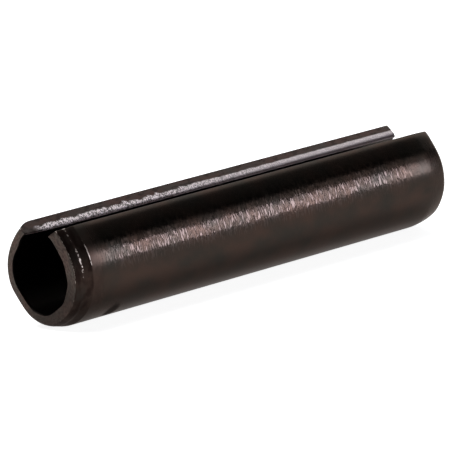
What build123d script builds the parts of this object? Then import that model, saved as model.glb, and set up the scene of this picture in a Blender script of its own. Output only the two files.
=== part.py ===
from build123d import *
from math import asin, atan, cos, degrees, hypot, radians, tan
import os

# A slotted spring pin: one strip of spring steel, coined at both ends and rolled into a C.
# It lies along X with its slot straight up. The origin is on its axis, halfway along it.

# Driving dimensions of the free pin, in millimetres and degrees
pin_length = 50.0
outer_diameter = 10.5  # over the round of the body
wall = 1.4  # thickness of the strip
slot_gap = 3.4  # narrowest opening, between the strip's edges at the bore
lip_flat = 1.25  # straight stretch that the rolls leave beside each edge of the strip

# The lead-in at each end: a steep nose, then a shallow taper up to the full body
nose_length = 1.25
nose_angle = 21.0
nose_round = 0.3  # where the nose turns into the end face
taper_length = 0.95
taper_angle = 8.0

edge_break = 0.12  # left by tumbling, along the slot and round the bore's mouths

# Sizes that follow from them
body_radius = outer_diameter / 2
bore_radius = body_radius - wall
half_opening = degrees(asin(slot_gap / 2 / hypot(bore_radius, lip_flat)))
bend_start = half_opening + degrees(atan(lip_flat / bore_radius))  # slot's middle to the first bend

# Each end is coined twice: the taper is struck over the whole lead-in, then the nose on top of it.
lead_length = nose_length + taper_length
lead_drop = lead_length * tan(radians(taper_angle))
nose_drop = nose_length * (tan(radians(nose_angle)) - tan(radians(taper_angle)))
nose_slope = nose_length / cos(radians(taper_angle))  # the nose's length, measured down the taper


def end_face(side):
    """The flat end face of the pin at -X (side 0) or at +X (side -1)."""
    return pin.faces().filter_by(Axis.X).sort_by(Axis.X)[side]


def arm(edge):
    """From the pin's axis, straight out to the middle of an edge."""
    middle = edge @ 0.5
    return Vector(0, middle.Y, middle.Z)


def rims(face):
    """The end face's edges that follow the strip, from the axis outwards: three are round the
    bore and three round the outside. The two left out cross the strip at the slot."""
    following = face.edges().filter_by(lambda edge: abs(arm(edge).normalized().dot(edge % 0.5)) < 0.5)
    return following.sort_by(lambda edge: arm(edge).length)


def reach(face):
    """Distance from the pin's axis to the plane of a flat face that runs along it."""
    centre = face.center()
    return abs(Vector(0, centre.Y, centre.Z).dot(face.normal_at()))


with BuildPart() as pin:
    # The strip's outside runs straight from one edge, round the back and straight to the other.
    # Its thickness is laid on inwards and its edges stay square to it, so the slot opens like a V.
    with BuildSketch(Plane.YZ):
        with BuildLine():
            back = CenterArc((0, 0), body_radius, 90 + bend_start, 360 - 2 * bend_start)
            Line(back @ 0, back @ 0 - (back % 0) * lip_flat)
            Line(back @ 1, back @ 1 + (back % 1) * lip_flat)
            offset(amount=wall, side=Side.LEFT)
        make_face()
    extrude(amount=pin_length / 2, both=True)

    # The lead-ins follow the strip, its straight stretches too, so they are as deep all round.
    for side in (0, -1):
        face = end_face(side)
        chamfer(rims(face)[3:], length=lead_drop, length2=lead_length, reference=face)
        face = end_face(side)
        chamfer(rims(face)[3:], length=nose_drop, length2=nose_slope, reference=face)
        fillet(rims(end_face(side))[3:], radius=nose_round)

    # Broken edges: round both slot faces, which pass nearer to the axis than the other flats,
    # and round the bore's two mouths
    flats = pin.faces().filter_by(GeomType.PLANE).filter_by(Axis.X, reverse=True)
    slot_faces = flats.sort_by(reach)[:2]
    mouths = rims(end_face(0))[:3] + rims(end_face(-1))[:3]
    fillet(slot_faces.edges() + mouths, radius=edge_break)

pin.part.label = "spring_roll_pin"
os.makedirs("parts", exist_ok=True)
export_step(pin.part, "parts/spring_roll_pin.step")
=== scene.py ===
# %% [markdown]
# # A slotted spring pin
#
# The real pin starts as a flat strip of spring steel. Its two ends are coined thin, then rolls bend
# the strip round until it is a tube with a slot left open along its top. Hardening and a hot
# blackening bath follow, and a tumble in a barrel breaks the sharp edges.
#
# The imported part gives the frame: its size, its axis along X and its slot straight up. This script
# makes the finished pin in that same frame, as one surface worked out on a grid, and gives each of
# its faces the finish that its own step in the making has left on it.

# %% Load the frame
import math

import bmesh
import bpy
import numpy as np
from mathutils import Matrix, Vector


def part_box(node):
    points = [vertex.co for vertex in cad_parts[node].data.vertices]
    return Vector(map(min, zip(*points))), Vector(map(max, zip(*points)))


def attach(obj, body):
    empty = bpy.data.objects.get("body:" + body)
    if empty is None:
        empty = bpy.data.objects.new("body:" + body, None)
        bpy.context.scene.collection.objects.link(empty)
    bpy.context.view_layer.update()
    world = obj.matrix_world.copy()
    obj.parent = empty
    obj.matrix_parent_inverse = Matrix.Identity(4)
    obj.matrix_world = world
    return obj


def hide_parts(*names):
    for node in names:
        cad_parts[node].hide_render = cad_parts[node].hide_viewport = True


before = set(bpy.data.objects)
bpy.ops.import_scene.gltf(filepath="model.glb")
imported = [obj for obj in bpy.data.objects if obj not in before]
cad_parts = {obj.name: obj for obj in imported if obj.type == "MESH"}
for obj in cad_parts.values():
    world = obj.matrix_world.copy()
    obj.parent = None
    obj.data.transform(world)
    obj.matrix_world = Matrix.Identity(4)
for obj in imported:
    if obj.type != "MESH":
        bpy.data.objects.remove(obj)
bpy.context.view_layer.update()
low, high = (np.array(corner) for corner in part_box("spring_roll_pin"))
MM = 0.001  # one millimetre, in Blender's metres
HALF_LENGTH = high[0] / MM
BODY_RADIUS = high[1] / MM
print("pin:", round(2 * HALF_LENGTH, 2), "mm long,", round(2 * BODY_RADIUS, 2), "mm across")

# %% [markdown]
# ## The strip's section
#
# Rolls don't bend a strip evenly. They press it in a few places, and between the bends it stays
# nearly flat, which shows best inside the bore. So the bore's wall is described as a round hole with
# a few flats pushed into it: in each direction the wall is as near as the nearest of them. A power
# mean takes that minimum and rounds the corners between the flats in the same stroke.
#
# The outside is pressed against the rolls and comes out rounder. It is one wall's thickness out from
# the bore, but never past the round of the rolls, apart from beside the slot, where the rolls let go
# of the strip and it runs on straight.
#
# Directions are in degrees from straight up, where the slot is. They go down the near side, -Y, to
# -180 at the bottom, and on up the far side, where 52 and -308 are the same direction. Distances are
# in mm.

# %% The bore's wall and the outside, as distances from the axis
# Each flat: the direction it lies in, and its distance from the axis.
FLATS = ((52, 3.61), (130, 3.46), (-147, 3.60), (-114, 3.65), (-81, 3.65), (-55, 3.69))
BORE_ROUND = (3.90, 0.245, -55)  # mean radius, how far it is off centre, and in which direction
BEND_SHARPNESS = 32  # the power of the mean: the higher, the sharper the corners between the flats
WALL = 1.68  # before the rolls press the outside round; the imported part's wall is 1.4 mm

NEAR_LIP = (-33.3, -21.0, -52.7)  # outer corner, inner corner, where the straight run begins
FAR_LIP = (-330.1, -338.1, -317.7)


def bore_radius(psi):
    """1 / r^p is the sum of 1 / d^p over the round hole and the flats, where a flat with its normal
    at angle n and distance d is d / cos(psi - n) away in the direction psi."""
    mean, shift, toward = BORE_ROUND
    nearness = (mean + shift * np.cos(np.radians(psi - toward))) ** -BEND_SHARPNESS
    for normal, distance in FLATS:
        facing = np.clip(np.cos(np.radians(psi - normal)), 0, None)
        nearness = nearness + (facing / distance) ** BEND_SHARPNESS
    return nearness ** (-1 / BEND_SHARPNESS)


def outer_radius(psi):
    """The smaller of the bore's radius plus the wall and the rolls' radius, softened in the same
    way, then divided by the cosine of how far psi is past the end of the rolls' grip."""
    laid = (bore_radius(psi) + WALL) ** -(2 * BEND_SHARPNESS)
    rolled = BODY_RADIUS ** -(2 * BEND_SHARPNESS)
    grip = (laid + rolled) ** (-1 / (2 * BEND_SHARPNESS)) * 2 ** (0.5 / (2 * BEND_SHARPNESS))
    past = np.clip(psi - NEAR_LIP[2], 0, None) + np.clip(FAR_LIP[2] - psi, 0, None)
    return np.minimum(grip, BODY_RADIUS) / np.cos(np.radians(past))


for name, psi in (("bottom", -180.0), ("near side", -90.0), ("far side", -270.0)):
    print(name, "bore", round(float(bore_radius(psi)), 2), "outside", round(float(outer_radius(psi)), 2))

# %% [markdown]
# ## The coined ends
#
# Before rolling, a die squeezes each end of the strip thinner, so that the finished pin finds its
# hole. It works in two hits, and each leaves its own slope, with a narrow level step between them.
# Seen along the pin, the metal's surface is therefore a chain of straight slopes. A chain of slopes
# is easy to write down as bends: where each one lies, how much steeper the surface gets there, and
# how round that bend is.
#
# The die doesn't press evenly. On the far side of the pin its slopes run into one soft curve, and at
# the far end it has missed the edge of one lip, which stays square.

# %% How much metal the die has taken off, at each place
# Each bend: its distance from the end in mm, the slope it adds, and its softness in mm.
NEAR_END_BENDS = {
    "near side": ((1.95, 0.32, 0.015), (1.13, -0.28, 0.03), (0.84, 0.30, 0.04), (0.30, 0.20, 0.05)),
    "far side": ((1.50, 0.18, 0.12), (1.10, 0.18, 0.12), (0.72, 0.20, 0.10), (0.38, 0.50, 0.10)),
}
FAR_END_BENDS = {
    "near side": ((2.10, 0.12, 0.20), (0.90, 0.10, 0.20), (0.32, 0.50, 0.06), (0.10, 0.30, 0.04)),
    "far side": ((2.10, 0.05, 0.20), (0.90, 0.05, 0.20), (0.32, 0.35, 0.06), (0.10, 0.20, 0.04)),
}
MISSED_LIP = (306.0, 318.0)  # degrees of -psi over which the far end's die lets go of the strip
FAR_SIDE = (151.0, 205.0)  # degrees of -psi over which the near side's slopes turn into the far side's


def smooth_step(x, start, stop):
    """0 up to start, 1 from stop on, and 3t^2 - 2t^3 between them."""
    t = np.clip((x - start) / (stop - start), 0, 1)
    return t * t * (3 - 2 * t)


def far_share(psi):
    """How much a direction belongs to the far side: 0 round the near side, 1 round the far side."""
    return smooth_step(-psi, *FAR_SIDE)


def die_depth(from_end, psi, bends):
    """The sum over the bends of slope * softness * log(1 + exp(distance inside it / softness)),
    which is 0 outside a bend and a straight slope inside it."""
    depth = 0.0
    share = far_share(psi)
    for near, far in zip(bends["near side"], bends["far side"]):
        reach, slope, soft = (a + (b - a) * share for a, b in zip(near, far))
        depth = depth + slope * soft * np.logaddexp(0, (reach - from_end) / soft)
    return np.maximum(depth, 0)


for name, bends in (("near", NEAR_END_BENDS), ("far", FAR_END_BENDS)):
    print(name, "end coined", die_depth(0.0, np.array([-90.0, -270.0]), bends).round(2), "mm deep")


# %% [markdown]
# ## The sheared edges
#
# The strip was slit from a wide sheet. A slitting blade first draws the skin of the metal down with
# it, which rounds the corner, then cuts a smooth burnished band, and at last the rest tears off at an
# angle. The line between the burnished band and the torn one is ragged, and the torn band is what
# glitters beside the slot. It matters for the shape as well: the tear slopes away from the cut.

# %% How the cut leans, from the outer corner to the bore's corner
TEAR_START = (0.45, 0.52)  # share of the wall, from the bore, where the tear begins at each end
TEAR_SLOPE = math.tan(math.radians(3))
BROKEN_CORNER = (0.11, 0.23)  # share of the wall, from the bore, broken off aslant at each end
BROKEN_SLOPE = math.tan(math.radians(17))
TEAR_SOFTNESS, BROKEN_SOFTNESS = 0.02, 0.03  # share of the wall over which each bend is rounded
DRAWN = (0.10, 0.30)  # mm: how deep the blade drew the near edge's outer corner down, and how wide
TOOTH_WAVES = ((0.9, 0.035), (0.35, 0.05))  # mm of pitch, and typical height as a share of the wall
TEETH_FADE = (12.0, 34.0)  # mm from the near end over which the teeth shrink to a quarter
STRIP_LENGTH = 24.5  # mm from one edge of the strip to the other, round its middle

chance = np.random.default_rng(11)


def wavy(x, pitch, height):
    """A smooth chance curve along x with waves about one pitch long: chance heights at even steps,
    joined by straight lines and smoothed with the smooth step."""
    heights = chance.normal(0, height, int(2 * HALF_LENGTH / pitch) + 4)
    place = np.clip(x / pitch + 1, 0, len(heights) - 1.001)
    first = np.floor(place).astype(int)
    t = place - first
    return heights[first] + (heights[first + 1] - heights[first]) * t * t * (3 - 2 * t)


def soft_slope(distance, softness):
    """The distance where it is above 0 and 0 where it is below, with the corner rounded."""
    return softness * np.logaddexp(0, distance / softness)


# %% [markdown]
# ## The pin as one grid
#
# One parameter runs once round the strip's section: along the outside, over one edge of the slot,
# back along the bore and over the other edge. The other runs from end to end. At each end, a few
# last rows shrink the section onto its own middle line, which makes the end face and closes the
# shell. A box with a bent hole could be cut and bevelled instead, but here every edge keeps the
# radius and the wander that the real one has, because the formula says so.

# %% The two parameters
EDGE_RADIUS = 0.03  # mm, on the four long edges of the slot


def section_loop(wall_points=136, face=22, corner=6):
    """Places round the strip's section, as the share w of the way from the near edge to the far
    one, and the share h of the way from the bore's wall to the outside. The corners are quarter
    circles of the edge's radius, and along the walls the places stand closer toward them: a little
    under half of each step follows a cosine."""
    dw, dh = EDGE_RADIUS / STRIP_LENGTH, EDGE_RADIUS / WALL
    turn = np.linspace(0, np.pi / 2, corner)
    even = np.linspace(0, 1, wall_points)
    run = dw + (1 - 2 * dw) * (0.55 * even + 0.45 * (1 - np.cos(np.pi * even)) / 2)
    across = np.linspace(1 - dh, dh, face)[1:-1]
    w = [run, 1 - dw + dw * np.sin(turn[1:]), np.ones(face - 2), 1 - dw + dw * np.cos(turn)]
    h = [np.ones(wall_points), 1 - dh * (1 - np.cos(turn[1:])), across, dh * (1 - np.sin(turn))]
    w += [run[-2::-1], dw - dw * np.sin(turn[1:]), np.zeros(face - 2), dw - dw * np.cos(turn[:-1])]
    h += [np.zeros(wall_points - 1), dh * (1 - np.cos(turn[1:])), across[::-1],
          1 - dh + dh * np.sin(turn[:-1])]
    return np.concatenate(w), np.concatenate(h)


def row_places(length, end_zone=2.6, end_rows=60, body_rows=170):
    """Distances from the near end at which the section is drawn: even steps along the body, and in
    each end zone closer steps round the die's bends. How closely they stand there is an even part
    plus a hump over each bend, that falls to half its height about 0.02 mm away from it."""
    tables = (*NEAR_END_BENDS.values(), *FAR_END_BENDS.values())
    bends = np.unique([0.0] + [reach for table in tables for reach, slope, softness in table])
    fine = np.linspace(0, end_zone, 4001)
    crowding = 12 + (9 / (0.25 + np.abs(fine[:, None] - bends) / 0.08)).sum(1)
    share = np.concatenate([[0], np.cumsum((crowding[1:] + crowding[:-1]) / 2)])
    end = np.interp(np.linspace(0, share[-1], end_rows), share, fine)
    body = np.linspace(end_zone, length - end_zone, body_rows)
    return np.concatenate([end, body[1:-1], length - end[::-1]])


w_loop, h_loop = section_loop()
x_rows = row_places(2 * HALF_LENGTH)
print("grid:", len(w_loop), "places round the section,", len(x_rows), "rows along the pin")

# %% The lines where the cut tears and breaks
teeth_left = 1 - 0.75 * smooth_step(x_rows, *TEETH_FADE)
teeth = {
    edge: sum(wavy(x_rows, pitch, height) for pitch, height in TOOTH_WAVES) * teeth_left
    for edge in ("near", "far")
}


def tear_line(x, edge):
    """Where across the wall the tear begins: its mean, and teeth that are longest at the near end."""
    return np.interp(x, (0, 2 * HALF_LENGTH), TEAR_START) + np.interp(x, x_rows, teeth[edge])


def broken_line(x):
    """Where across the wall the broken corner begins."""
    return np.interp(x, (0, 2 * HALF_LENGTH), BROKEN_CORNER)


def tear_beside(w, x):
    """The tear line of whichever edge of the strip is nearer."""
    return np.where(w < 0.5, tear_line(x, "near"), tear_line(x, "far"))


for edge, heights in teeth.items():
    print(edge, "edge: the tear wanders", round(float(np.ptp(heights) * WALL), 2), "mm across the wall")

# %% From the two parameters to a place
END_DISH = (0.15, 0.5)  # mm the near face's outer edge lies back on the near side, and how far in
MOUTH_BREAK = (0.10, 0.06)  # mm broken off the bore's mouths, and how far in
MOUTH_SPREAD = (0.12, 1.6)  # mm the near end's mouth stands open at the far lip, and how far in
DIE_BITE = (0.5, 3.66)  # share deeper the die bites, per mm that the bore's wall is nearer than this


def direction(psi):
    """The unit vector in Y and Z that points in a direction."""
    return np.stack([np.sin(np.radians(psi)), np.cos(np.radians(psi))])


def place(w, h, x):
    """A point of the pin, in mm. It starts from the bore's wall and goes the share h of the way to
    the outside, less what the die and the blade have taken off there. The directions of the outside
    and of the bore both go evenly from the near edge of the strip to the far one."""
    torn = TEAR_SLOPE * soft_slope(tear_beside(w, x) - h, TEAR_SOFTNESS)
    broken = BROKEN_SLOPE * soft_slope(broken_line(x) - h, BROKEN_SOFTNESS)
    w = 0.5 + (w - 0.5) * (1 - 2 * WALL * (torn + broken) / STRIP_LENGTH)
    psi_out = NEAR_LIP[0] + (FAR_LIP[0] - NEAR_LIP[0]) * w
    psi_in = NEAR_LIP[1] + (FAR_LIP[1] - NEAR_LIP[1]) * w
    near_half = x < HALF_LENGTH
    from_end = np.minimum(x, 2 * HALF_LENGTH - x)
    far_lip = smooth_step(-psi_out, *MISSED_LIP)
    dish = END_DISH[0] * (1 - far_share(psi_out)) * np.exp(-from_end / END_DISH[1])
    coined = np.where(
        near_half,
        die_depth(from_end + dish, psi_out, NEAR_END_BENDS),
        die_depth(from_end, psi_out, FAR_END_BENDS) * (1 - far_lip),
    )
    drawn = DRAWN[0] * np.exp(-STRIP_LENGTH * w / DRAWN[1])
    coined = coined * (1 + DIE_BITE[0] * (DIE_BITE[1] - bore_radius(psi_in)))
    taken = coined + drawn
    opened = MOUTH_SPREAD[0] * far_lip * near_half * np.exp(-from_end / MOUTH_SPREAD[1])
    out = outer_radius(psi_out) * direction(psi_out)
    bore = (bore_radius(psi_in) + opened) * direction(psi_in)
    thickness = np.hypot(*(out - bore))
    start = MOUTH_BREAK[0] * np.exp(-from_end / MOUTH_BREAK[1]) / thickness
    y, z = bore + (out - bore) * (start + (1 - taken / thickness - start) * h)
    return np.stack([x + dish * h * near_half - HALF_LENGTH, y, z], axis=-1)


# %% The whole grid of places
CAP_RINGS = 7  # rows that close each end face


def cap(x):
    """The rows that shrink one end's section onto its middle line, from the middle outwards. That
    line stops half a wall short of the slot, so that the rows fan out round its two ends."""
    grow = np.linspace(0, 1, CAP_RINGS + 1)[:-1, None]
    w = 0.5 + (w_loop - 0.5) * (1 - (1 - grow) * WALL / STRIP_LENGTH)
    h = 0.5 + (h_loop - 0.5) * grow
    return w, h, np.full(w.shape, x)


body_w, body_x = np.meshgrid(w_loop, x_rows)
body_h, _ = np.meshgrid(h_loop, x_rows)
near_cap, far_cap = cap(x_rows[0]), cap(x_rows[-1])
w_grid, h_grid, x_grid = (
    np.concatenate([near, body, far[::-1]])
    for near, body, far in zip(near_cap, (body_w, body_h, body_x), far_cap)
)
points = place(w_grid, h_grid, x_grid)
lowest, highest = points.min((0, 1)).round(3), points.max((0, 1)).round(3)
print("points:", points.shape, "from", lowest, "to", highest, "mm")

# %% [markdown]
# ## From places to a mesh, with a map of the strip painted on it
#
# Each place is stored with its own address on the strip: how far round it lies, how far along, and
# how far across the wall. The finishes read that address, so a scratch left by the rolls can run
# round the pin and a torn band can stay beside the slot.
#
# Four more maps say how torn, worn, rubbed or dulled each place is. They follow from the address and
# from the same sizes as the shape, so that a bright line lies on the very ridge that was rubbed.

# %% The mesh
def new_object(name, data):
    """An object of the scene that holds the given data."""
    thing = bpy.data.objects.new(name, data)
    bpy.context.scene.collection.objects.link(thing)
    return thing


def mesh_from_rows(name, rows, **maps):
    """Join neighbours on a grid of rows into quads. The section's last place joins its first. Each
    map holds a number or three for every place, and is stored with the mesh under its name."""
    count, around, _ = rows.shape
    index = np.arange(count * around).reshape(count, around)
    a, b = index[:-1], index[1:]
    faces = np.stack([a, b, np.roll(b, -1, axis=1), np.roll(a, -1, axis=1)], axis=-1).reshape(-1, 4)
    mesh = bpy.data.meshes.new(name)
    mesh.from_pydata(rows.reshape(-1, 3) * MM, [], faces)
    for title, values in maps.items():
        kind, part = ("FLOAT_VECTOR", "vector") if values.ndim == 3 else ("FLOAT", "value")
        mesh.attributes.new(title, kind, "POINT").data.foreach_set(part, values.ravel())
    return new_object(name, mesh)


# %% Where the cut is torn
TORN_STARTS = (1.2, 2.8)  # mm from the near end over which the torn band begins
TORN_BLUR, BROKEN_BLUR = 0.04, 0.06  # share of the wall over which the band fades in, and out

from_either_end = np.minimum(x_grid, 2 * HALF_LENGTH - x_grid)


def torn_share():
    """1 in the torn band, between its ragged line and the broken corner, little more than 0 on that
    corner, and 0 elsewhere."""
    band = smooth_step(tear_beside(w_grid, x_grid) - h_grid, -TORN_BLUR, TORN_BLUR)
    whole = smooth_step(h_grid - broken_line(x_grid), -BROKEN_BLUR, BROKEN_BLUR)
    return band * (0.12 + 0.88 * whole) * smooth_step(x_grid, *TORN_STARTS)


# %% Where the barrel has worn the edges
FACE_RIM = (0.07, 0.05)  # bright width along the pin in mm, and across the wall as a share
SLOT_RIM = (0.10, 0.06)  # bright width round the strip in mm, and across the wall as a share
MOUTH_TIP = (0.15, 0.12)  # bright width in mm, along the pin and round the strip
RING_RIDGE = (0.04, 0.10)  # mm from the die's ring to the middle of its bright line, and its width
STEP_RIDGE = (0.12, 0.25)  # the same for the step between the die's two hits
UPPER = (0.15, 0.30)  # share round the strip over which its upper near side ends


def hump(value, middle, width):
    """1 at the middle, falling off as a bell does."""
    return np.exp(-(((value - middle) / width) ** 2))


def worn_share():
    """How much the barrel has rubbed a place: most on the outer edge of an end's face and on the
    corners of the slot, where nothing lies beside the metal to shield it, and on the two ridges that
    the die left high on the near side. Each is a hump one way times a hump the other way."""
    upper = 1 - smooth_step(w_grid, *UPPER)
    across = STRIP_LENGTH * np.minimum(w_grid, 1 - w_grid)
    face = hump(from_either_end, 0, FACE_RIM[0]) * hump(h_grid, 1, FACE_RIM[1]) * (0.82 + 0.18 * upper)
    slot = hump(across, 0, SLOT_RIM[0]) * hump(h_grid, 1, SLOT_RIM[1])
    tip = hump(from_either_end, 0, MOUTH_TIP[0]) * hump(across, 0, MOUTH_TIP[1])
    (ring, _, _), (_, _, _), (step, _, _), _ = NEAR_END_BENDS["near side"]
    ring_ridge = 1.4 * hump(x_grid, ring + RING_RIDGE[0], RING_RIDGE[1]) * hump(w_grid, 0.11, 0.07)
    step_ridge = hump(x_grid, step + STEP_RIDGE[0], STEP_RIDGE[1])
    step_ridge = step_ridge * (0.20 * hump(w_grid, 0.13, 0.04) + 0.84 * upper)
    ridges = (ring_ridge + step_ridge) * (h_grid > 0.5)
    return np.clip(face + 0.45 * slot + 0.8 * tip + ridges, 0, 1.2)


# %% Where the rolls have scratched the skin, and where the die has dulled it
RUB_STARTS = (2.0, 6.0)  # mm from the near end over which the scratches begin
RUB_ENDS = (8.0, 2.0)  # mm from the far end over which most of them stop
RUBBED_BAND = ((0.03, 0.09), (0.165, 0.215))  # share round the strip where they begin and thin out
RING_EDGE = (1.85, 2.05)  # mm from an end over which most of its dullness stops, at the die's ring
DULL_FADES = (2.0, 4.6)  # mm from an end over which the rest fades
STAIN = (5.8, 0.375)  # mm from the near end, and share of the way round the strip
STAIN_REACH = (0.8, 1.1)  # mm from its middle to its edge, along the pin and round it


def rubbed_share():
    """How much the rolls have scratched the outside: most in a band along the near side, where they
    pressed hardest, not at all in the coined near end, and less toward the far end."""
    begin, thin_out = RUBBED_BAND
    pressed = smooth_step(w_grid, *begin) * (1 - 0.85 * smooth_step(w_grid, *thin_out))
    far_end = smooth_step(x_grid, *(2 * HALF_LENGTH - reach for reach in RUB_ENDS))
    return pressed * smooth_step(x_grid, *RUB_STARTS) * (1 - 0.7 * far_end)


def dull_share():
    """1 in the coined near end, where the die has pressed scale into the skin, 0.4 just past it, and
    0 along the body. The far end, coined more gently, has a quarter of that. A stained patch under
    the pin, near one end, is duller still and reads as 2."""
    stain_x = (x_grid - STAIN[0]) / STAIN_REACH[0]
    stain_w = (w_grid - STAIN[1]) * STRIP_LENGTH / STAIN_REACH[1]
    stain = np.exp(-((stain_x**2 + stain_w**2) ** 3))
    past_ring = 0.6 * smooth_step(from_either_end, *RING_EDGE)
    coined = 1 - past_ring - 0.4 * smooth_step(from_either_end, *DULL_FADES)
    return np.maximum(coined * np.where(x_grid > HALF_LENGTH, 0.25, 1.0), 2 * stain)


# %% The pin, with its maps
address = np.stack([w_grid * STRIP_LENGTH, x_grid, h_grid], axis=-1)
maps = {"torn": torn_share(), "worn": worn_share(), "rubbed": rubbed_share(), "dull": dull_share()}
pin = mesh_from_rows("rolled_pin", points, strip=address, **maps)
print("maps:", ", ".join(f"{title} up to {values.max():.2f}" for title, values in maps.items()))

# %% Which face is which
OUTSIDE, EDGES, ENDS, BORE = range(4)


def zones():
    """The number of each quad's finish, from where its four corners lie: the end rows first, then
    the slot's edges, then whichever wall it is on."""
    w = (w_grid[:-1] + w_grid[1:]) / 2
    h = (h_grid[:-1] + h_grid[1:]) / 2
    w = (w + np.roll(w, -1, axis=1)) / 2
    h = (h + np.roll(h, -1, axis=1)) / 2
    rounding = 0.6 * EDGE_RADIUS / STRIP_LENGTH  # a corner belongs to the edge from here on
    zone = np.where(h > 0.5, OUTSIDE, BORE)
    zone = np.where((w < rounding) | (w > 1 - rounding), EDGES, zone)
    zone[:CAP_RINGS] = ENDS
    zone[-CAP_RINGS:] = ENDS
    return zone.ravel()


pin.data.polygons.foreach_set("material_index", zones())
print("quads by finish:", np.bincount(zones()))

# %% Close the ends and point the faces outwards
WELD = 0.0005  # mm within which corners count as one, where the end rows meet

shell = bmesh.new()
shell.from_mesh(pin.data)
bmesh.ops.remove_doubles(shell, verts=shell.verts, dist=WELD * MM)
bmesh.ops.recalc_face_normals(shell, faces=shell.faces)
open_edges = sum(not edge.is_manifold for edge in shell.edges)
volume = shell.calc_volume(signed=True)
shell.to_mesh(pin.data)
shell.free()
pin.data.shade_smooth()
print("open edges:", open_edges, "volume:", round(volume / MM**3, 1), "mm3,",
      "triangles:", sum(len(face.vertices) - 2 for face in pin.data.polygons))

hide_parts("spring_roll_pin")
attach(pin, "root")

# %% [markdown]
# ## The camera
#
# A very long lens from nearly half a metre away. The pin lies with its slot turned a little to the
# far side of the camera's upright. So the camera and the lamps are placed in a frame of their own,
# which is then turned round the pin's axis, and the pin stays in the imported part's frame.

# %% The camera
SLOT_LEAN = 6.7  # degrees the slot leans away from the camera's upright, round the X axis
AZIMUTH, ELEVATION = -44.465, 16.436  # degrees
DISTANCE = 461.3  # mm
AIM = (-0.629, -0.265)  # mm to the right of the pin's middle, and above it
FRAME_PX = 450  # width of the frame
LENS_PX = 4782.8  # focal length in the same pixels
CLIP_START = 0.01  # metres

lean = Matrix.Rotation(math.radians(SLOT_LEAN), 4, "X")


def facing(azimuth, elevation):
    """Axes of something that looks at the middle from an azimuth and elevation: its right, its up
    and the way back to it, as unit vectors."""
    a, e = math.radians(azimuth), math.radians(elevation)
    back = Vector((math.sin(a) * math.cos(e), -math.cos(a) * math.cos(e), math.sin(e)))
    right = Vector((math.cos(a), math.sin(a), 0))
    return right, back.cross(right), back


def aimed(azimuth, elevation, distance, aim=(0, 0)):
    """The matrix of a thing that stands off by a distance in mm and looks at the pin's middle."""
    right, up, back = facing(azimuth, elevation)
    matrix = Matrix((right, up, back)).transposed().to_4x4()
    matrix.translation = (right * aim[0] + up * aim[1] + back * distance) * MM
    return lean @ matrix


scene = bpy.context.scene
camera = new_object("camera", bpy.data.cameras.new("camera"))
camera.matrix_world = aimed(AZIMUTH, ELEVATION, DISTANCE, AIM)
camera.data.lens = camera.data.sensor_width * LENS_PX / FRAME_PX
camera.data.clip_start = CLIP_START
scene.camera = camera
print("camera:", round(camera.data.lens, 1), "mm lens,", DISTANCE, "mm away")

# %% [markdown]
# ## Nodes for the finishes
#
# A finish is a small graph of nodes. One helper adds a node of any kind, fills its inputs and links
# other nodes to them, so that each material below reads as a list of what happens to the light.

# %% Helpers for materials
def linear(hex_colour):
    """An sRGB colour written as hex, as the linear RGBA that a shader needs."""
    srgb = np.array([int(hex_colour[i : i + 2], 16) for i in (1, 3, 5)]) / 255
    rgb = np.where(srgb <= 0.04045, srgb / 12.92, ((srgb + 0.055) / 1.055) ** 2.4)
    return (*rgb, 1.0)


def add(tree, kind, *values, **named):
    """Add a node. Bare values fill the inputs in use, in order. A name in lower case is one of the
    node's own settings. A name with a capital is an input, and underscores in it stand for spaces. A
    value is a number, a hex colour, or what to link from: a socket, or a node, which stands for its
    first output in use."""
    node = tree.nodes.new("ShaderNode" + kind)
    for name in filter(str.islower, named):
        setattr(node, name, named[name])
    inputs = [name for name in named if not name.islower()]
    sockets = [socket for socket in node.inputs if socket.enabled][: len(values)]
    sockets += [node.inputs[name.replace("_", " ")] for name in inputs]
    for socket, value in zip(sockets, [*values, *(named[name] for name in inputs)]):
        if isinstance(value, bpy.types.Node):
            value = next(output for output in value.outputs if output.enabled)
        if isinstance(value, bpy.types.NodeSocket):
            tree.links.new(value, socket)
        else:
            socket.default_value = linear(value) if isinstance(value, str) else value
    return node


def new_tree(name):
    """A new material and its node tree, emptied."""
    material = bpy.data.materials.new(name)
    material.use_nodes = True
    material.node_tree.nodes.clear()
    return material, material.node_tree


# %% What all the finishes share
def grain(tree, size, detail, offset):
    """Chance values from 0 to 1 over the strip, with grains of the given size in mm: round the
    strip, along it and across its wall. The offset gives each use a pattern of its own."""
    strip = add(tree, "Attribute", attribute_name="strip").outputs["Vector"]
    scale = [1 / s for s in (size[0], size[1], size[2] / WALL)]
    placed = add(tree, "Mapping", Vector=strip, Location=(offset, offset, offset), Scale=scale)
    return add(tree, "TexNoise", Vector=placed, Scale=1.0, Detail=detail)


def clouds(tree, reddish, greenish):
    """A bath of hot salts leaves the oxide thicker here and thinner there, so its brown-black
    drifts between a redder and a greener tone, in clouds a few millimetres across."""
    wide = add(tree, "MapRange", grain(tree, (2.4, 3.5, 1.5), 3.0, 3.0), 0.36, 0.64)
    return add(tree, "Mix", wide, reddish, greenish, data_type="RGBA")


def worn(tree, colour, rough):
    """Bare steel shows in specks where the barrel has rubbed the edges. It is scuffed as well as
    bare, so it scatters light from every side and shows bright at any angle."""
    share = add(tree, "Attribute", attribute_name="worn").outputs["Fac"]
    specks = add(tree, "Math", grain(tree, (0.25, 0.25, 0.25), 1.0, 2.0), share, operation="ADD")
    bare = add(tree, "MapRange", specks, 1.40, 1.52)
    colour = add(tree, "Mix", bare, colour, "#c9bcb3", data_type="RGBA")
    rough = add(tree, "Mix", bare, rough, 0.42, data_type="FLOAT")
    return colour, rough


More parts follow.
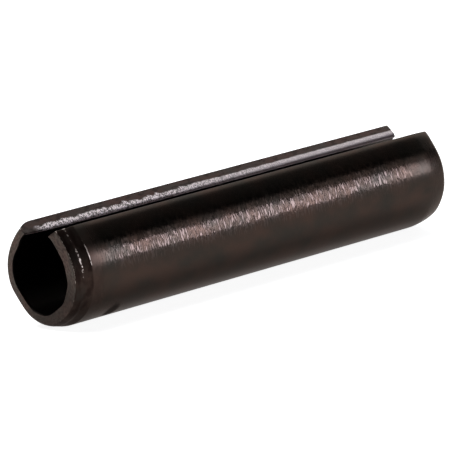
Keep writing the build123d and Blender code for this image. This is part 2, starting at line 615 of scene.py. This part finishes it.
def finish(name, build):
    """A metal's material, put on the pin: build fills its tree, and gives its colour, its roughness
    and its height, and the depth in mm that the height stands for."""
    material, tree = new_tree(name)
    colour, rough, height, depth = build(tree)
    bump = add(tree, "Bump", Height=height, Distance=depth * MM, Strength=1.0)
    shader = add(tree, "BsdfPrincipled", Base_Color=colour, Metallic=1.0, Roughness=rough, Normal=bump,
                 Specular_Tint="#f3eae5")
    add(tree, "OutputMaterial", Surface=shader)
    pin.data.materials.append(material)
    return material


# %% [markdown]
# ## Black oxide on rolled spring steel
#
# The outside is cold-rolled spring steel, blackened in a bath of hot salts and tumbled. The oxide is
# a thin dark skin on a smooth metal, so it shows a lamp as a band with a soft edge, and stays nearly
# black where it mirrors a dim room. The rolls slipped a little as they bent the strip, and their
# marks run round the pin. They break the band up into short bright lines. The real marks are about a
# hundredth of a millimetre wide, too fine to show, so they are drawn coarser here, at 0.17 mm.
#
# A scratch is a groove as well as a polished line, so one pattern drives three things: the bump, a
# lower roughness and a slightly lighter oxide. In the coined ends the die has pressed scale into the
# skin, so they are rougher and blotched with a darker oxide, the near end most.

# %% Black oxide on rolled spring steel
def rolled(tree):
    """The outside, with its scratches, its dull coined ends and one dark stain."""
    dull = add(tree, "Attribute", attribute_name="dull").outputs["Fac"]
    rubbed = add(tree, "Attribute", attribute_name="rubbed").outputs["Fac"]
    fine = add(tree, "MapRange", grain(tree, (0.7, 0.17, 1.0), 1.0, 9.0), 0.38, 0.62)
    scratch = add(tree, "Math", fine, rubbed, operation="MULTIPLY")
    lighter = add(tree, "MapRange", scratch, 0.5, 1.0, 0.0, 0.5)
    colour = add(tree, "Mix", lighter, clouds(tree, "#473933", "#393430"), "#5c504d", data_type="RGBA")
    blotch = add(tree, "MapRange", grain(tree, (1.3, 0.8, 1.0), 3.0, 2.0), 0.42, 0.58, 0.35, 1.0)
    coined = add(tree, "MapRange", dull, 0.0, 1.0)
    scale = add(tree, "Math", blotch, coined, operation="MULTIPLY")
    colour = add(tree, "Mix", scale, colour, "#2c211e", data_type="RGBA")
    stain = add(tree, "MapRange", dull, 1.0, 2.0, 0.0, 0.8)
    colour = add(tree, "Mix", stain, colour, "#1c1715", data_type="RGBA")
    rougher = add(tree, "Math", dull, 0.20, operation="MULTIPLY")
    rough = add(tree, "MapRange", scratch, 0.0, 1.0, 0.23, 0.11)
    rough = add(tree, "Math", rough, rougher, operation="ADD")
    colour, rough = worn(tree, colour, rough)
    return colour, rough, scratch, 0.011


# %% [markdown]
# ## Black oxide on sheared spring steel
#
# The two faces of the slot are the strip's slit edges. The burnished band is as smooth as the blade
# that made it, and its oxide is dark and even. The torn band is a field of tiny facets. The barrel
# has rubbed the oxide off their tips, so they glitter one by one, most of all at the end of the pin
# where the teeth are longest; further along they blend into a satin stripe. Real facets are a few
# hundredths of a millimetre wide. They are drawn coarser, at 0.12 to 0.20 mm, so that they show.

# %% Black oxide on sheared spring steel
SATIN = (14.0, 36.0)  # mm from the near end over which the glitter blends into satin


def sheared(tree):
    """Beside the slot: a dark, even cut band with a few pits, and a torn band with bright tips."""
    pits = add(tree, "MapRange", grain(tree, (0.5, 0.9, 0.4), 3.0, 5.0), 0.52, 0.62, 0.0, 0.6)
    colour = add(tree, "Mix", pits, clouds(tree, "#433330", "#3b3533"), "#1e1917", data_type="RGBA")
    tooth = grain(tree, (0.2, 0.12, 0.17), 1.0, 7.0)
    strip = add(tree, "Attribute", attribute_name="strip").outputs["Vector"]
    along = add(tree, "SeparateXYZ", strip).outputs["Y"]
    satin = add(tree, "MapRange", along, *SATIN, 0.0, 0.85)
    speck = add(tree, "MapRange", tooth, 0.42, 0.56, 0.12, 1.0)
    glitter = add(tree, "Mix", satin, speck, 0.62, data_type="FLOAT")
    torn = add(tree, "Attribute", attribute_name="torn").outputs["Fac"]
    bright = add(tree, "Math", torn, glitter, operation="MULTIPLY")
    colour = add(tree, "Mix", bright, colour, "#ffeff2", data_type="RGBA")
    rough = add(tree, "MapRange", torn, 0.0, 1.0, 0.30, 0.33)
    colour, rough = worn(tree, colour, rough)
    relief = add(tree, "MapRange", torn, 0.0, 1.0, 0.1, 1.0)
    height = add(tree, "Math", tooth, relief, operation="MULTIPLY")
    return colour, rough, height, 0.05


# %% [markdown]
# ## Black oxide on cropped spring steel
#
# The end faces were cropped across the strip in one stroke, and nothing has smoothed them since. A
# rough face spreads every lamp over itself, so it looks matt, and lighter than the smooth outside
# that mirrors the dark. Its grain is drawn at about a third of a millimetre, coarse enough to show.
# Low on the near side the face is drawn darker.

# %% Black oxide on cropped spring steel
DARKER_LOW = ((4.5, 7.0), (12.0, 17.0))  # mm round the strip over which it begins, and thins out


def cropped(tree):
    """The end faces: matt and mottled, with a little bare steel along their outer edge."""
    height = grain(tree, (0.35, 0.35, 0.35), 3.0, 4.0)
    mottle = add(tree, "MapRange", height, 0.42, 0.62, 0.0, 0.6)
    colour = add(tree, "Mix", mottle, clouds(tree, "#66554f", "#57534e"), "#423935", data_type="RGBA")
    strip = add(tree, "Attribute", attribute_name="strip").outputs["Vector"]
    around = add(tree, "SeparateXYZ", strip).outputs["X"]
    # the face is drawn darker low on the near side, from 4.5 mm to 17 mm round the strip
    begun = add(tree, "MapRange", around, *DARKER_LOW[0])
    left = add(tree, "MapRange", around, *DARKER_LOW[1], 0.6, 0.0)
    darker_low = add(tree, "Math", begun, left, operation="MULTIPLY")
    colour = add(tree, "Mix", darker_low, colour, "#2c2421", data_type="RGBA")
    rough = add(tree, "MapRange", height, 0.3, 0.7, 0.35, 0.5)
    colour, rough = worn(tree, colour, rough)
    return colour, rough, height, 0.03


# %% [markdown]
# ## Black oxide in the bore, with painted shade
#
# The bath leaves the same oxide inside the tube, where no barrel can rub it, so it has almost no
# sheen, and what little light falls into a deep tube is lost between its walls. Its colour is drawn
# far darker than the outside's oxide, as painted shade for the deep tube, so it reads as a plain
# black whose edge shows the flats of the bends.

# %% Black oxide in the bore, with painted shade
def bore_with_painted_shade(tree):
    """The bore: matt, and painted nearly black as shade for the deep tube, with faint rolling marks that
    run round it.
    """
    # painted shade: these colours are far darker than the oxide outside, to stand for the deep tube's
    # shade
    colour = clouds(tree, "#0d0a09", "#0b0a0a")
    height = grain(tree, (4.0, 0.4, 1.0), 2.0, 6.0)
    rough = add(tree, "MapRange", height, 0.3, 0.7, 0.4, 0.5)
    return colour, rough, height, 0.01


# %% Give each face its finish
finishes = (
    finish("black_oxide_on_rolled_steel", rolled),
    finish("black_oxide_on_sheared_edge", sheared),
    finish("black_oxide_on_cropped_end", cropped),
    finish("black_oxide_with_painted_shade_in_bore", bore_with_painted_shade),
)
print("finishes:", [material.name for material in finishes])

# %% [markdown]
# ## The studio
#
# A white floor that curves up into a low wall all round, as a studio's paper sweep does, and a dim
# room above it. Blackened steel is a dark mirror: it shows the floor as brown-black on its lower
# half and the dim room as near black on top, and the one bright band is a softbox.

# %% [markdown]
# ## White paper sweep
#
# The sweep is white paper lit by the same lamps as the pin, which keeps the pin's soft shadow on it.
# Paper never looks quite white under lamps that suit a black object, so a little light of its own is
# added where the camera sees it. The oxide would mirror a grey floor, so a smaller share of that
# light is added for rays that come off a mirror, and for those that come through glass.

# %% Floor and wall
FLAT = 1.1  # metres of flat floor, from the middle
CURVE = 0.25  # metres, the radius of the curve up
WALL_TOP = 0.40  # metres above the floor
SIDES = 96  # of the sweep, all round
OWN_LIGHT, MIRRORED_LIGHT = 0.9, 0.28  # of the paper, as the camera and as mirrors see it


def sweep_profile(steps=12):
    """Radius and height of the sweep: flat, a quarter circle, then straight up."""
    turn = np.linspace(0, np.pi / 2, steps)
    r = np.concatenate([[0.0, FLAT / 2], FLAT + CURVE * np.sin(turn), [FLAT + CURVE]])
    z = np.concatenate([[0.0, 0.0], CURVE * (1 - np.cos(turn)), [WALL_TOP]])
    return r, z


r, z = sweep_profile()
r, z = r[:, None], z[:, None]
around = np.linspace(0, 2 * np.pi, SIDES + 1)[:-1]
sweep = np.stack([r * np.cos(around), r * np.sin(around), z + np.zeros_like(around)], axis=-1)
sweep[..., 2] += low[2]
floor = mesh_from_rows("studio_sweep", sweep / MM)
floor.data.shade_smooth()

paper, tree = new_tree("white_paper_sweep")
path = add(tree, "LightPath").outputs
seen = add(tree, "Math", path["Is Camera Ray"], OWN_LIGHT, operation="MULTIPLY")
indirect = add(tree, "Math", path["Is Glossy Ray"], path["Is Transmission Ray"], operation="ADD")
mirrored = add(tree, "Math", indirect, MIRRORED_LIGHT, operation="MULTIPLY")
glow = add(tree, "Math", seen, mirrored, operation="ADD")
shader = add(tree, "BsdfPrincipled", Base_Color="#d6d6d6", Roughness=0.9, Emission_Strength=glow,
             Emission_Color="#ffffff", Specular_IOR_Level=0.0)
add(tree, "OutputMaterial", Surface=shader)
floor.data.materials.append(paper)
print("sweep:", FLAT + CURVE, "m in radius,", WALL_TOP, "m high")

# %% [markdown]
# ## Lamps and room
#
# A dark mirror is lit by what it reflects. Each band on the pin is one lamp: a tall softbox at the
# front right makes the bright band along the side, a weak one above it softens the band's upper
# edge, a large one at the upper right lights the torn edge beside the slot, and one behind on the
# left draws the thin line along the top edge. Front is -Y here, and right is +X. The room itself
# stays almost dark.

# %% Lamps and room
ROOM_LIGHT = 0.012  # where 1 is white


def softbox(name, azimuth, elevation, distance, size, radiance, colour=(1, 1, 1)):
    """A lamp of a size in mm that faces the pin. Its power is radiance times pi times its area."""
    lamp = bpy.data.lights.new(name, "AREA")
    lamp.shape = "RECTANGLE"
    lamp.size, lamp.size_y = size[0] * MM, size[1] * MM
    lamp.energy = radiance * math.pi * lamp.size * lamp.size_y
    lamp.color = colour
    thing = new_object(name, lamp)
    thing.matrix_world = aimed(azimuth, elevation, distance)
    thing.visible_camera = False
    return thing


softbox("front_right_softbox", 45.4, 18.4, 1250.0, (260.0, 390.0), 7.5, (0.94, 0.98, 1.10))
softbox("front_right_spill", 52.0, 32.0, 1250.0, (400.0, 180.0), 0.7)
softbox("top_right_softbox", 114.0, 37.0, 800.0, (740.0, 600.0), 1.35, (0.94, 1.00, 1.01))
softbox("back_left_softbox", 200.0, 62.0, 900.0, (600.0, 600.0), 5.5)

world = bpy.data.worlds.new("dim_room")
world.use_nodes = True
room = world.node_tree.nodes["Background"]
room.inputs["Color"].default_value = (ROOM_LIGHT, ROOM_LIGHT, ROOM_LIGHT, 1)
scene.world = world

scene.view_settings.view_transform = "Standard"
